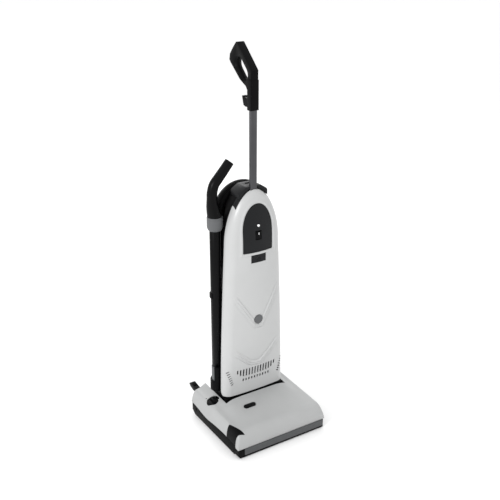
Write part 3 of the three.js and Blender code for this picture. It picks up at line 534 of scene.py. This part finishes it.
# How far the cover's skin stands proud of its plain shape: two V ridges, the raised rim round
# the panel, the badge's seat and a finger scoop under the latch.
def relief(x, z):
    proud = 0.0
    for line in (UPPER_V, LOWER_V):
        d = from_line(x, z, line)
        if d < 12:
            fade = smooth((86 - abs(x)) / 26)
            proud += fade * 2.4 * math.exp(-(((d - 3.4) / 2.6) ** 2))
            proud -= fade * 1.3 * math.exp(-(((d - 8.5) / 2.8) ** 2))
    if z > 500:
        if z < SPRING:
            out = max(abs(x) - PANEL.x1, PANEL.z0 - z)
        else:
            out = (math.hypot(x / PANEL.x1, (z - SPRING) / (PANEL.z1 - SPRING)) - 1) * 58
        proud += 2.8 * math.exp(-(((out - 5.0) / 2.8) ** 2))
        proud -= 1.6 * math.exp(-((x / 27) ** 4) - ((z - 530) / 10) ** 2)
    if math.hypot(x - BADGE.x, z - BADGE.z) < 15.5:
        proud = -1.7
    return proud


# The cover's skin between two depths, as one closed shell open to the rear.
def cover_shell(name, outer, inner, figure=None, straight=190, crown=64):
    steps = [0, .006, .013, .021, .031, .043, .058, .075, .095, .12]
    steps += [.12 + .88 * k / 38 for k in range(1, 39)]

    def ring(by, detail):
        rows = []
        for x, z in cover_outline(by, straight, crown):
            spine = min(z, ARCH_BASE)
            reach = math.hypot(x, z - spine) or 1.0
            half = [(x, COVER.y1, z)]
            for k in steps:
                px, pz = x * (1 - k), z + (spine - z) * k
                lift = [detail(side * px, pz) if detail and k > 0.03 else 0.0 for side in (1, -1)]
                half.append((px, cover_face(k * reach, reach, by, z), pz, *lift))
            right = [half[0]] + [(p[0], p[1] - p[3], p[2]) for p in half[1:]]
            left = [(-half[0][0], *half[0][1:])] + [(-p[0], p[1] - p[4], p[2]) for p in half[1:]]
            rows.append(left[:-1] + right[::-1])
        return rows

    front, back = ring(outer, figure), ring(inner, None)
    return skin(name, [f + b[::-1] for f, b in zip(front, back)])


def block(name, x0, x1, y0, y1, z0, z1):
    return prism(name, [(x0, y0), (x1, y0), (x1, y1), (x0, y1)], "z", z0, z1, 0.0, 1)


def panel_outline(grow):
    head = [
        ((PANEL.x1 + grow) * math.cos(math.pi * i / 48),
         SPRING + (PANEL.z1 - SPRING + grow) * math.sin(math.pi * i / 48))
        for i in range(49)
    ]
    side, foot = PANEL.x1 + grow, PANEL.z0 - grow
    return [(-side + 2, foot), (side - 2, foot), (side, foot + 2)] + head + [(-side, foot + 2)]


VENT_TOP, VENT_HALF, VENT_PITCH = 194, 2.6, 10


# A slot's cutter: a rounded oblong through the cover, leaning by some degrees about its middle.
def slot_tool(x, z, half_wide, half_tall, ease, depth, lean=0.0):
    turn = math.radians(lean)
    oblong = [(-half_wide, -half_tall), (half_wide, -half_tall),
              (half_wide, half_tall), (-half_wide, half_tall)]
    placed = [
        (x + u * math.cos(turn) - v * math.sin(turn), z + u * math.sin(turn) + v * math.cos(turn))
        for u, v in eased(oblong, ease)
    ]
    return prism("vent", placed, "y", -50, depth, 0.0, 1)


# Two rows of upright slots, and a leaning column of short ones up each side.
def vent_tools():
    tools = []
    for i in range(14):
        x = (i - 6.5) * VENT_PITCH
        tall = 27 - 13 * (abs(x) / 65) ** 6
        tools.append(slot_tool(x, VENT_TOP - tall / 2, VENT_HALF, tall / 2, 1.9, -2))
    for i in range(10):
        tools.append(slot_tool((i - 4.5) * VENT_PITCH, 155.25, VENT_HALF, 4.75, 1.9, -2))
    for side in (-1, 1):
        for i in range(7):
            x, z = side * (95 - i * 2.2), 192 - i * 7.3
            tools.append(slot_tool(x, z, 5, 1.9, 1.4, 8, -35 * side))
    return joined("vents", tools)


# The hinge arms: x ranges either side, an eye about the rod and a stem to the cover's face.
def knuckles():
    arms = []
    for x in (-KNUCKLE_X, KNUCKLE_X):
        stem = [(-13.2, HINGE.z - 3), (-13.2, HINGE.z + 3)]
        section = arc(HINGE.y, HINGE.z, 5, 100, -100, 12) + stem
        arm = prism("knuckle", section, "x", x - 8, x + 8, 0.6)
        hole = arc(HINGE.y, HINGE.z, 2.8, 0, 337.5, 15)
        arms.append(boolean(arm, [prism("bore", hole, "x", x - 12, x + 12, 0.0, 1)]))
    return arms


def front_cover():
    shell = cover_shell("front_cover_shell", 0.0, WALL, relief)
    tube = Span("handle_tube")
    latch = Span("cover_latch")
    swing = arc(HINGE.y, HINGE.z, COVER.y1 - HINGE.y - 0.3, 0, -60, 14)
    heel = swing + [(6, 100), (24, 100), (24, HINGE.z)]
    boolean(shell, [
        vent_tools(),
        prism("panel_tool", panel_outline(0.6), "y", -60, 0, 0.0, 1),
        block("latch_tool", latch.x0 - CLEAR, latch.x1 + CLEAR, -60, -10,
              latch.z0 - CLEAR, latch.z1 + CLEAR),
        block("crown_tool", -60, 60, -1.5, 20, 705, 790),
        block("tube_tool", tube.x0 - .6, tube.x1 + .6, tube.y0 - .6, 20, 700, 790),
        prism("heel_tool", heel, "x", -120, 120, 0.0, 1),
    ])
    stand_in(joined("front_cover_finished", [shell] + knuckles()), "front_cover", angle=28)


# What is left of a thin cover shell inside an outline in the XZ plane.
def fitting(name, outer, inner, outline, straight, crown, front=-10):
    plate = cover_shell(name, outer, inner, None, straight, crown)
    return boolean(plate, [prism("keep", outline, "y", -60, front, 0, 1)], "INTERSECT")


def cover_latch():
    latch = Span("cover_latch")
    corners = [(latch.x0, latch.z0), (latch.x1, latch.z0), (latch.x1, latch.z1),
               (latch.x0, latch.z1)]
    plate = fitting("latch_plate", 0.8, 7.0, eased(corners, 3), 120, 24)
    dip = turned("dip", [(0.1, -9), (7, -7), (9.5, 0), (7, 7), (0.1, 9)], "x",
                 (COVER.y0 - 4.5, latch.z0 + 9), 32)
    soften_edges(boolean(plate, [dip]), 0.5)
    stand_in(plate, "cover_latch")


def round_badge():
    disc = arc(BADGE.x, BADGE.z, BADGE.x1 - 0.1, 0, 355, 71)
    badge = fitting("badge_plate", -0.6, 1.2, disc, 200, 12)
    stand_in(soften_edges(badge, 0.35), "round_badge")


def control_panel():
    lamp = Span("led_lens")
    panel = fitting("panel_plate", 1.2, 4.2, panel_outline(0), 160, 90, front=-5)
    boolean(panel, [
        block("switch_tool", -SWITCH_HALF, SWITCH_HALF, -60, 0,
              SWITCH_Z - SWITCH_TALL, SWITCH_Z + SWITCH_TALL),
        prism("lamp_tool", arc(0, lamp.z, 3.8, 0, 348, 29), "y", -60, 0, 0, 1),
    ])
    stand_in(soften_edges(panel, 0.5), "control_panel")


def lamp_and_switch():
    lamp, switch = Span("led_lens"), Span("rocker_switch")
    lens = turned("led_lens_dome", [
        (3.5, lamp.y1), (3.5, lamp.y0 + 1.2), (3.0, lamp.y0 + 0.5), (1.8, lamp.y0 + 0.1),
        (0.2, lamp.y0),
    ], "y", (lamp.x, lamp.z), 32)
    stand_in(lens, "led_lens")
    refined("rocker_switch", 0.9, 3)
    # A thin near-white strip on the rocker's upper face is a painted highlight, made in the lens's
    # white material.
    mark = block("switch_painted_highlight", -0.7, 0.7, switch.y0 + 0.15, switch.y0 + 3,
                 SWITCH_Z + 3, SWITCH_Z + 9)
    extra(mark, BODY["rocker_switch"], "lamp")


# ---------------------------------------------------------------- floor head

HEAD_HALF, HEAD_FRONT, HEAD_REAR = 155.0, -165.0, 121.0
SKIRT_Z = 34  # the top's shoulders fall to this height
NOTCH_HALF, NOTCH_FRONT = 108.7, -20
KNOB_X, KNOB_R = -129.0, 18.5
LENS = {"x0": -67.5, "x1": -41.5, "y": -67, "r": 7.5}  # the window's two round ends


# Height of the head's top: a gentle slope to the front and a hump that carries the body.
def head_top(x, y, half, front, rear):
    slope = 78 + 8 * (y - HEAD_FRONT) / (HEAD_REAR - HEAD_FRONT)
    hump = 22 * smooth((y + 150) / 130) * math.exp(-((abs(x) / 118) ** 8))

    def shoulder(past, wide, power):
        return max(0.0, 1 - max(0.0, past / wide) ** power) ** (1 / power)

    side = shoulder(abs(x) - (half - 15), 15, 2.2)
    nose = shoulder(front + 35 - y, 35, 2.4)
    tail = shoulder(y - (rear - 12), 12.5, 2.2)
    return SKIRT_Z + (slope + hump - SKIRT_Z) * side * nose * tail


# The head's block under that top, set in by a wall: the cover is one such block less another.
def head_block(name, by):
    half, front, rear = HEAD_HALF - by, HEAD_FRONT + by, HEAD_REAR - by
    ease = [15 * (1 - math.cos(math.pi / 2 * k / 10)) for k in range(10)]
    across = [d - half for d in ease] + [15 - half + (half - 15) * k / 30 for k in range(31)]
    xs = across + [-x for x in across[:-1]][::-1]
    nose = [35 * (1 - math.cos(math.pi / 2 * k / 16)) for k in range(16)]
    ys = [front + d for d in nose]
    ys += [front + 35 + (rear - 12 - front - 35) * k / 50 for k in range(51)]
    ys += [rear - 12 + 12 * math.sin(math.pi / 2 * k / 8) for k in range(1, 9)]
    rows = []
    for y in ys:
        top = [(x, y, head_top(x, y, half, front, rear) - by) for x in xs]
        rows.append([(xs[0], y, 10.0)] + top + [(xs[-1], y, 10.0)])
    return skin(name, rows)


# Lower edge of the cover as (y, z): it dips in front of the rear wheels.
SKIRT = [
    (-149.5, 30.5), (-148.5, 39), (-80, 41), (-25, 38), (5, 34), (30, 32.5), (55, 35.5),
    (85, 40), (130, 42),
]
GAP = 0.3


# The black corner in plan, grown by some millimetres where the light cover meets it.
def guard_plan(grow):
    rear, front = -98 + grow, -148.5 - grow
    return [(-170, rear), (-144 + grow, rear), (-126 + 2 * grow, -154 - grow), (-150, front),
            (-170, front)]



def head_pieces():
    knob = Span("height_knob")
    pedal = Span("release_pedal")
    shell = boolean(head_block("head_shell", 0.0), [head_block("head_hollow", WALL)])
    skirt = [(-180, -5), (-180, 30)] + eased(SKIRT, 8, closed=False) + [(130, -5)]
    boolean(shell, [
        prism("skirt", skirt, "x", -170, 170, 0, 1),
        block("notch", -NOTCH_HALF, NOTCH_HALF, NOTCH_FRONT, 140, -10, 130),
    ])
    corner = new_object("corner_shell", shell.data.copy())
    wedge = prism("wedge", guard_plan(0), "z", 10, 120, 0, 1)
    pill = arc(LENS["x0"], LENS["y"], LENS["r"], 90, 270, 16)
    pill += arc(LENS["x1"], LENS["y"], LENS["r"], -90, 90, 16)
    boolean(shell, [
        prism("wider", guard_plan(GAP), "z", 5, 125, 0, 1),
        block("pedal_slot", pedal.x0 - 2, 1 - NOTCH_HALF, 108, 140, 40, 81),
        prism("knob_well", arc(KNOB_X, knob.y, KNOB_R + 0.8, 0, 355, 71), "z", 60, 110, 0, 1),
        prism("lens_hole", pill, "z", 60, 120, 0, 1),
    ])
    soften_edges(shell, 0.5, 2, 50)
    stand_in(shell, "head_cover", angle=30)

    boolean(corner, [wedge], "INTERSECT")
    low = Span("corner_guard")
    toe = prism("toe", eased([(low.x0, low.y0), (-133.8, low.y0), (-133.8, -161.5),
                              (-150.4, -161.5), (-150.4, -141.5), (low.x0, -141.5)], 3),
                "z", low.z0, 29.5, 1.0)
    rise = block("rise", low.x0, -152.2, -148, -141.5, 20, 45)
    stand_in(joined("corner_guard_finished", [corner, toe, rise]), "corner_guard", angle=30)


def knob_and_dial():
    knob = Span("height_knob")
    top = knob.z1 - 5.5
    grip = turned("knob_disc", [
        (KNOB_R - 3, top - 15.5), (KNOB_R - 0.2, top - 14), (KNOB_R - 0.2, top - 2),
        (KNOB_R - 1.5, top - 0.3), (KNOB_R - 3.5, top), (KNOB_R - 4.5, top - 0.8), (0.2, top - 0.8),
    ], "z", (KNOB_X, knob.y), 96,
        wave=lambda a, r, h: -0.45 * max(0, math.cos(24 * a)) if r > KNOB_R - 1 else 0)
    ridge = eased([(-3.4, -15), (3.4, -15), (3.0, 15), (-3.0, 15)], 2.5)
    ridge = [(KNOB_X + u, knob.y + v) for u, v in ridge]
    bar = prism("knob_bar", ridge, "z", top - 2, knob.z1, 1.4)
    stem = turned("knob_stem", [(5, 14), (5, top - 15)], "z", (KNOB_X, knob.y), 24)
    stand_in(joined("height_knob_finished", [grip, bar, stem]), "height_knob")
    for k in range(5):
        a = math.radians(35 + 27 * k)
        centre = (KNOB_X + 25 * math.cos(a), knob.y + 25 * math.sin(a))
        if -146 < centre[0] < -111:
            dot = turned("dial_mark", [(1.1, 84.6), (1.1, 86.15), (0.2, 86.2)], "z", centre, 16)
            extra(dot, BODY["head_cover"], "black")


def pedal():
    refined("release_pedal", 1.2, 3)
    low = Span("release_pedal")
    ribs = [
        prism("rib", eased([(low.x0 + 3, y), (low.x1 - 3, y), (low.x1 - 3, y + 1.6),
                            (low.x0 + 3, y + 1.6)], 0.7), "z", 76, 80.1, 0.5)
        for y in (144, 148, 152, 156)
    ]
    extra(joined("pedal_ribs", ribs), BODY["release_pedal"], "black")


# ---------------------------------------------------------------- brush, wheels, soft goods

def brush():
    box_of = Span("brush_roller")
    cy, cz = box_of.y, box_of.z
    pulley = box_of.x1
    core = turned("brush_core", [
        (6, box_of.x0), (6, -131), (17, -129.5), (19.6, -127), (19.6, 127), (17, 129.5), (6, 131),
        (6, pulley - 7), (13, pulley - 7), (13, pulley), (3, pulley),
    ], "x", (cy, cz), 48, wave=lambda a, r, x: 0.6 * math.cos(2 * (a - x / 45)) if r > 19 else 0)
    tufts = [core]
    for row in range(4):
        for k in range(34):
            x = -120 + k * 7.27
            a = math.pi / 2 * row + math.pi / 4 + 0.12 * math.sin(x / 40)
            rows = []
            for reach, half in ((18, 1.4), (24, 1.9), (box_of.z1 - cz - 0.3, 2.6)):
                ring = []
                for j in range(8):
                    b = 2 * math.pi * j / 8
                    u, v = half * math.cos(b), 0.7 * half * math.sin(b)
                    ring.append((x + u, cy + reach * math.cos(a) - v * math.sin(a),
                                 cz + reach * math.sin(a) + v * math.cos(a)))
                rows.append(ring)
            tufts.append(skin("tuft", rows))
    stand_in(joined("brush_finished", tufts), "brush_roller")


def wheels():
    for side, s in (("right", -1), ("left", 1)):
        w = Span(f"rear_wheel_{side}")
        r = w.z1 - w.z
        inner, outer = (w.x0, w.x1) if s > 0 else (w.x1, w.x0)
        profile = [
            (4.4, inner), (9, inner), (9, inner + s * 2), (19, inner + s * 2), (20, inner),
            (r - 4, inner), (r - 1.2, inner + s), (r, inner + s * 3.5), (r, outer - s * 3.5),
            (r - 1.2, outer - s), (r - 4, outer), (20, outer), (19, outer - s * 2.5),
            (12, outer - s * 3), (10, outer - s * 0.6), (4.4, outer - s * 0.6),
        ]
        wheel = turned("wheel", profile, "x", (w.y, w.z), 96, closed=True,
                       wave=lambda a, q, x: -0.5 * max(0, math.cos(32 * a)) ** 4 if q > 26 else 0)
        stand_in(wheel, f"rear_wheel_{side}")
        f = Span(f"front_roller_{side}")
        reach = f.z1 - f.z
        profile = [
            (2.5, f.x0), (reach - 1.5, f.x0), (reach, f.x0 + 1.5), (reach, f.x0 + 5),
            (reach - 0.7, f.x0 + 5.6), (reach - 0.7, f.x1 - 5.6), (reach, f.x1 - 5),
            (reach, f.x1 - 1.5), (reach - 1.5, f.x1), (2.5, f.x1),
        ]
        roller = turned("roller", profile, "x", (f.y, f.z), 64, closed=True)
        stand_in(roller, f"front_roller_{side}")


def dust_bag():
    b = Span("dust_bag")
    half = ((b.x1 - b.x0) / 2 - 1.5, (b.y1 - b.y0) / 2 - 1.5, (b.z1 - b.z0) / 2 - 1)

    def soft(t):
        return math.copysign(abs(t) ** 0.6, t)

    rows = []
    for i in range(1, 72):
        up = (i / 72 - 0.5) * math.pi
        row = []
        for j in range(128):
            a = 2 * math.pi * j / 128
            out = soft(math.cos(up))
            u, v, w = out * soft(math.cos(a)), out * soft(math.sin(a)), soft(math.sin(up))
            seed = Vector((u * 2.6, v * 2.6, w * 3.4))
            crease = abs(noise.noise(seed * 1.3)) + 0.5 * abs(noise.noise(seed * 3.1))
            dent = 1 - 0.055 * crease - 0.02 * abs(noise.noise(seed * 7))
            row.append((b.x + half[0] * u * dent, b.y + half[1] * v * (dent - 0.04 * crease),
                        b.z + half[2] * w * (0.98 + 0.02 * dent)))
        rows.append(row)
    stand_in(skin("dust_bag_creased", rows), "dust_bag", angle=60)


# ---------------------------------------------------------------- hose, wand and handle

# A ring swept along a line in an XZ plane, at stations of (x, z, radius).
def swept_round(name, stations, y, sides=40, bore=None):
    def rings(line):
        rows = []
        for i, (x, z, r) in enumerate(line):
            before, after = line[max(0, i - 1)], line[min(len(line) - 1, i + 1)]
            dx, dz = after[0] - before[0], after[1] - before[1]
            run = math.hypot(dx, dz) or 1.0
            dx, dz = dx / run, dz / run
            rows.append([
                (x - r * math.sin(2 * math.pi * k / sides) * dz,
                 y + r * math.cos(2 * math.pi * k / sides),
                 z + r * math.sin(2 * math.pi * k / sides) * dx) for k in range(sides)
            ])
        return rows

    if bore is None:
        return skin(name, rings(stations))
    return skin(name, rings(stations) + rings(bore)[::-1], ends="joined")


def hose():
    h = Span("suction_hose")
    r = 18.9
    x = h.x1 - 19
    arch = h.z1 - h.x1
    foot, port = h.z0 + 0.2, 262.2
    line = []
    pitch = 3.4

    def at(s):
        rise = arch - foot
        if s < rise:
            return -x, foot + s
        s -= rise
        if s < math.pi * x:
            a = math.pi - s / x
            return x * math.cos(a), arch + x * math.sin(a)
        return x, arch - (s - math.pi * x)

    total = (arch - foot) + math.pi * x + (arch - port)
    count = int(total / pitch)
    for i in range(count):
        for part, depth in ((0.0, 1.7), (0.22, 0.5), (0.42, 0.0), (0.66, 0.0), (0.86, 0.6)):
            px, pz = at(total * (i + part) / count)
            line.append((px, pz, r - depth))
    line.append((*at(total), r - 1.7))
    stand_in(swept_round("hose_ribbed", line, h.y, 36), "suction_hose", angle=70)


def catmull(points, steps):
    made = []
    for i in range(len(points) - 1):
        p = [points[max(0, i - 1)], points[i], points[i + 1], points[min(len(points) - 1, i + 2)]]
        for k in range(steps):
            t = k / steps
            made.append(tuple(
                0.5 * (2 * b + (c - a) * t + (2 * a - 5 * b + 4 * c - d) * t * t
                       + (3 * b - a - 3 * c + d) * t ** 3)
                for a, b, c, d in zip(*p)
            ))
    made.append(points[-1])
    return made


def wand():
    cuff, tube, collar = Span("wand_cuff"), Span("wand_tube"), Span("wand_collar")
    centre = (tube.x, tube.y)
    r = tube.x1 - tube.x
    stand_in(turned("cuff", [
        (13.6, cuff.z0), (16.6, cuff.z0), (17.4, cuff.z0 + 1), (17.4, cuff.z1 - 6),
        (16.9, cuff.z1 - 5.4), (16.9, cuff.z1 - 3.8), (17.4, cuff.z1 - 3.2), (17.4, cuff.z1 - 1),
        (16.8, cuff.z1), (13.6, cuff.z1),
    ], "z", centre, closed=True), "wand_cuff")
    stand_in(turned("tube", [
        (13.6, tube.z0), (r - 0.4, tube.z0), (r, tube.z0 + 0.6), (r, tube.z1 - 0.6),
        (r - 0.4, tube.z1), (13.6, tube.z1),
    ], "z", centre, closed=True), "wand_tube", look="gloss_black")
    low, top = collar.z0, collar.z1
    stand_in(turned("collar", [
        (13.6, low), (17.2, low), (18.6, low + 0.7), (20.6, low + 3.8), (22.1, low + 7.6),
        (22.8, low + 11), (23, low + 13), (23, top - 6), (22.5, top - 5.4), (22.5, top - 4.4),
        (23, top - 3.8), (22.9, top - 1.2), (22, top), (13.6, top),
    ], "z", centre, 96, closed=True), "wand_collar")

    x = centre[0]
    bend = [
        (0.2, 681.5, 22), (-3.5, 695, 19.8), (-6.8, 712, 17.3), (-7.3, 735, 15.6),
        (-6.9, 753, 15), (-0.3, 774, 14.8), (12, 789, 14.6), (29, 808, 14.2), (50.6, 833.3, 13.6),
    ]
    outside = catmull([(x + dx, z, radius) for dx, z, radius in bend], 7)
    inside = [(px, pz, radius - 3) for px, pz, radius in outside]
    hand = swept_round("hand_tube_smooth", outside, centre[1], 56, bore=inside)
    stand_in(hand, "hand_tube", look="gloss_black", angle=50)


# The loop grip's hand hole flares out on both sides, so that fingers meet no edge.
def grip():
    slope = math.radians(42.6)

    def place(along, inward):
        return (-8 + along * math.cos(slope) + inward * math.sin(slope),
                1084 + along * math.sin(slope) - inward * math.cos(slope))

    rows = []
    for x, r in ((-12.5, 22.5), (-11, 20.5), (-8, 17.2), (-4, 14), (4, 14), (8, 17.2),
                 (11, 20.5), (12.5, 22.5)):
        ring = arc(21, 37, r, 90, 270, 20) + arc(57, 37, r, -90, 90, 20)
        rows.append([(x, *place(along, inward)) for along, inward in ring])
    made = refined("grip_loop", 3.0, 4)
    boolean(made, [skin("hand_hole", rows)])
    soften_edges(made, 0.8, 3, 40)
    shade(made, 40)


def eased_pieces():
    for node, width, segments in (
        ("handle_sleeve", 1.6, 3), ("handle_tube", 0.3, 2),
        ("upper_cord_hook", 1.3, 3), ("lower_cord_hook", 1.3, 3), ("front_bumper", 2.2, 4),
        ("crown_cap", 1.1, 3), ("hose_port", 1.2, 3), ("wand_dock", 0.9, 2), ("neck_yoke", 1.0, 2),
        ("housing", 0.7, 2), ("indicator_lens", 0.8, 3), ("sole_plate", 0.4, 2),
    ):
        refined(node, width, segments, look="gloss_black" if node == "indicator_lens" else None)


front_cover()
cover_latch()
round_badge()
control_panel()
lamp_and_switch()
head_pieces()
knob_and_dial()
pedal()
brush()
wheels()
dust_bag()
hose()
wand()
grip()
eased_pieces()
for node in sorted(set(frame["nodes"]) - finished):
    refined(node)
